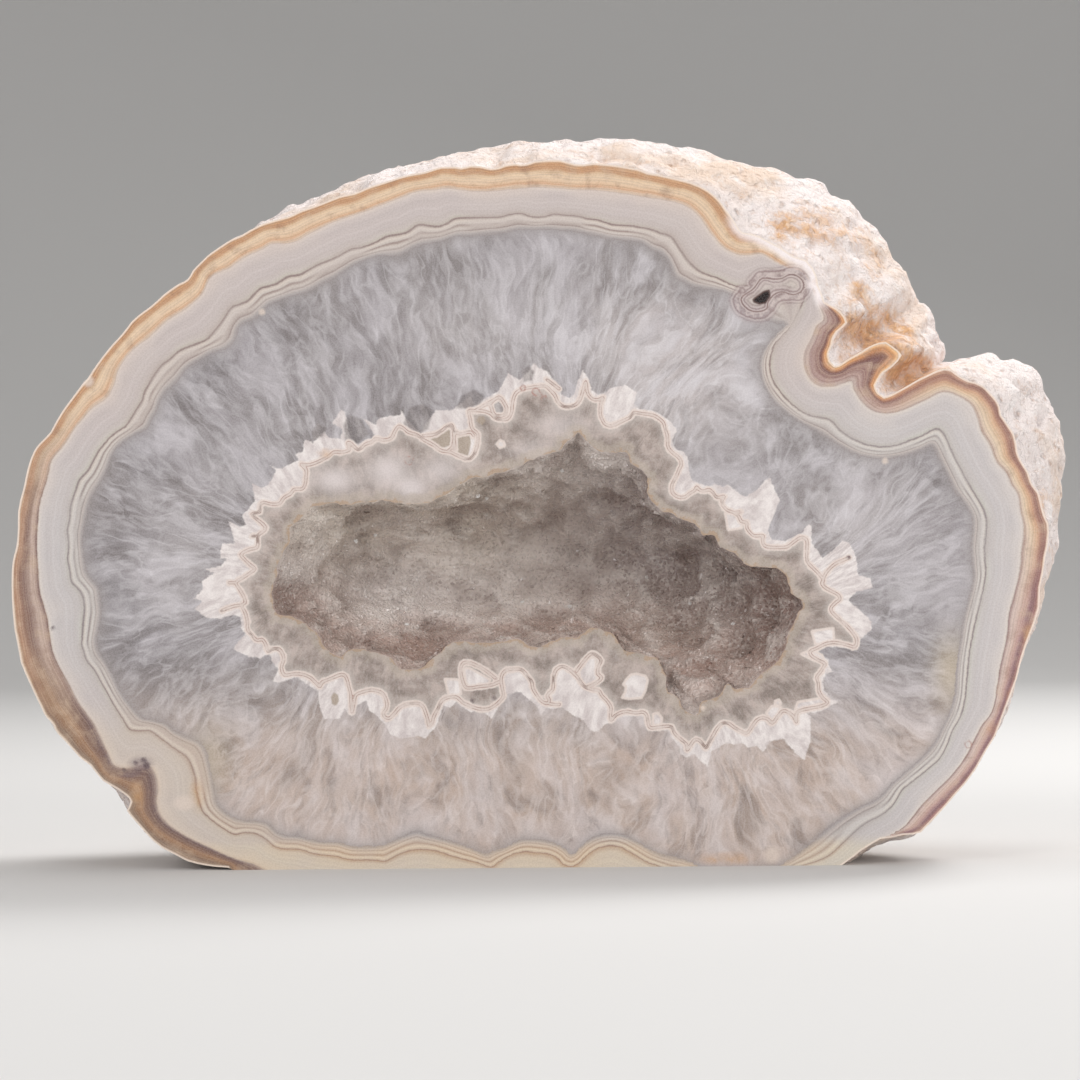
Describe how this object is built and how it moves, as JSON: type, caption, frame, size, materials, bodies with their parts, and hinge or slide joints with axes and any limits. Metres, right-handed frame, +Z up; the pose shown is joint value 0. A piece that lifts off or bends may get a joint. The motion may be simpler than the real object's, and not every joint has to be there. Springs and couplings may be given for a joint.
{
  "type": "agate geode",
  "caption": "Half of a banded agate nodule with a polished face around a quartz-lined hollow, sawn flat underneath so that it stands upright.",
  "frame": {"origin": "on the sawn base, under the middle of the stone's bounding box", "axes": "+X to the right along the polished face, +Y from the polished face to the rounded back, +Z up from the base"},
  "size_m": [0.2146, 0.084, 0.1465],
  "materials": {
    "agate": "polished banded face, rough rind, crystal-lined hollow"
  },
  "bodies": {
    "root": {"geode": "agate"}
  },
  "joints": []
}
